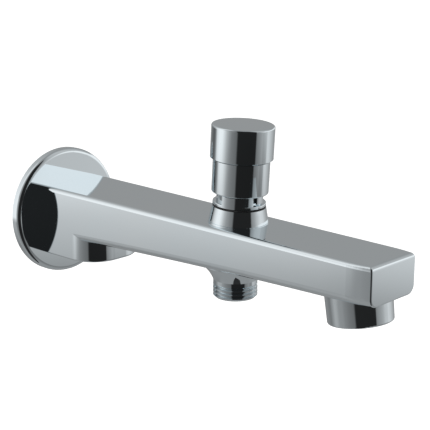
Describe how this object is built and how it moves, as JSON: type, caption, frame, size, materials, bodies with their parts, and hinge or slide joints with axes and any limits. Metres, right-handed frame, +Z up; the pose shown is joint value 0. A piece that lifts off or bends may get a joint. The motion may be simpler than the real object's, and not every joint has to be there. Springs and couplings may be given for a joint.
{
  "type": "bath spout with diverter",
  "caption": "Wall-mounted bath spout with a round flange, a flat tapered body, a lift-and-turn diverter knob, a threaded hand-shower outlet below and an aerated outlet at the front.",
  "frame": {"origin": "centre of the wall flange's back rim, on the axis of the inlet socket", "axes": "+X leads away from the wall along the spout, +Z is up, Y = 0 is the plane of symmetry"},
  "size_m": [0.215, 0.0668, 0.0957],
  "materials": {
    "polished_chrome": "mirror-polished chrome plate",
    "turned_brass": "turned brass",
    "spring_steel": "drawn stainless steel",
    "black_rubber": "matt black rubber",
    "soft_gasket": "closed-cell foam",
    "fibre_washer": "pressed fibre",
    "white_plastic": "moulded acetal"
  },
  "bodies": {
    "root": {"spout_body": "polished_chrome", "wall_flange": "polished_chrome", "wall_gasket": "soft_gasket", "inlet_washer": "fibre_washer", "flange_o_ring": "black_rubber", "hand_shower_nipple": "polished_chrome", "nipple_o_ring": "black_rubber", "diverter_bonnet": "polished_chrome", "bonnet_gasket": "black_rubber", "gland_o_rings": "black_rubber", "gland_bush": "turned_brass", "valve_cage": "turned_brass", "cage_o_ring": "black_rubber", "cage_seal": "black_rubber", "diverter_spring": "spring_steel", "aerator_shell": "polished_chrome", "aerator_grid": "white_plastic", "aerator_cage": "white_plastic", "aerator_screen": "spring_steel", "aerator_seal": "black_rubber"},
    "valve": {"valve_disc": "turned_brass", "lower_valve_seal": "black_rubber", "upper_valve_seal": "black_rubber"},
    "knob": {"spindle": "turned_brass", "valve_nut": "turned_brass", "knob_sleeve": "polished_chrome", "knob_cap": "polished_chrome", "knob_washer": "spring_steel", "knob_screw": "spring_steel"}
  },
  "joints": [
    {"name": "knob_lift", "type": "slide", "parent": "root", "child": "valve", "axis": [0.0628, 0, 0.998], "range_m": [0, 0.003], "stiffness_N_per_m": 500, "springref_m": -0.008, "deforming": ["diverter_spring"]},
    {"name": "knob_turn", "type": "hinge", "parent": "valve", "child": "knob", "pos_m": [0.128, 0, 0.01579], "axis": [0.0628, 0, 0.998], "range_deg": [0, 60]}
  ]
}
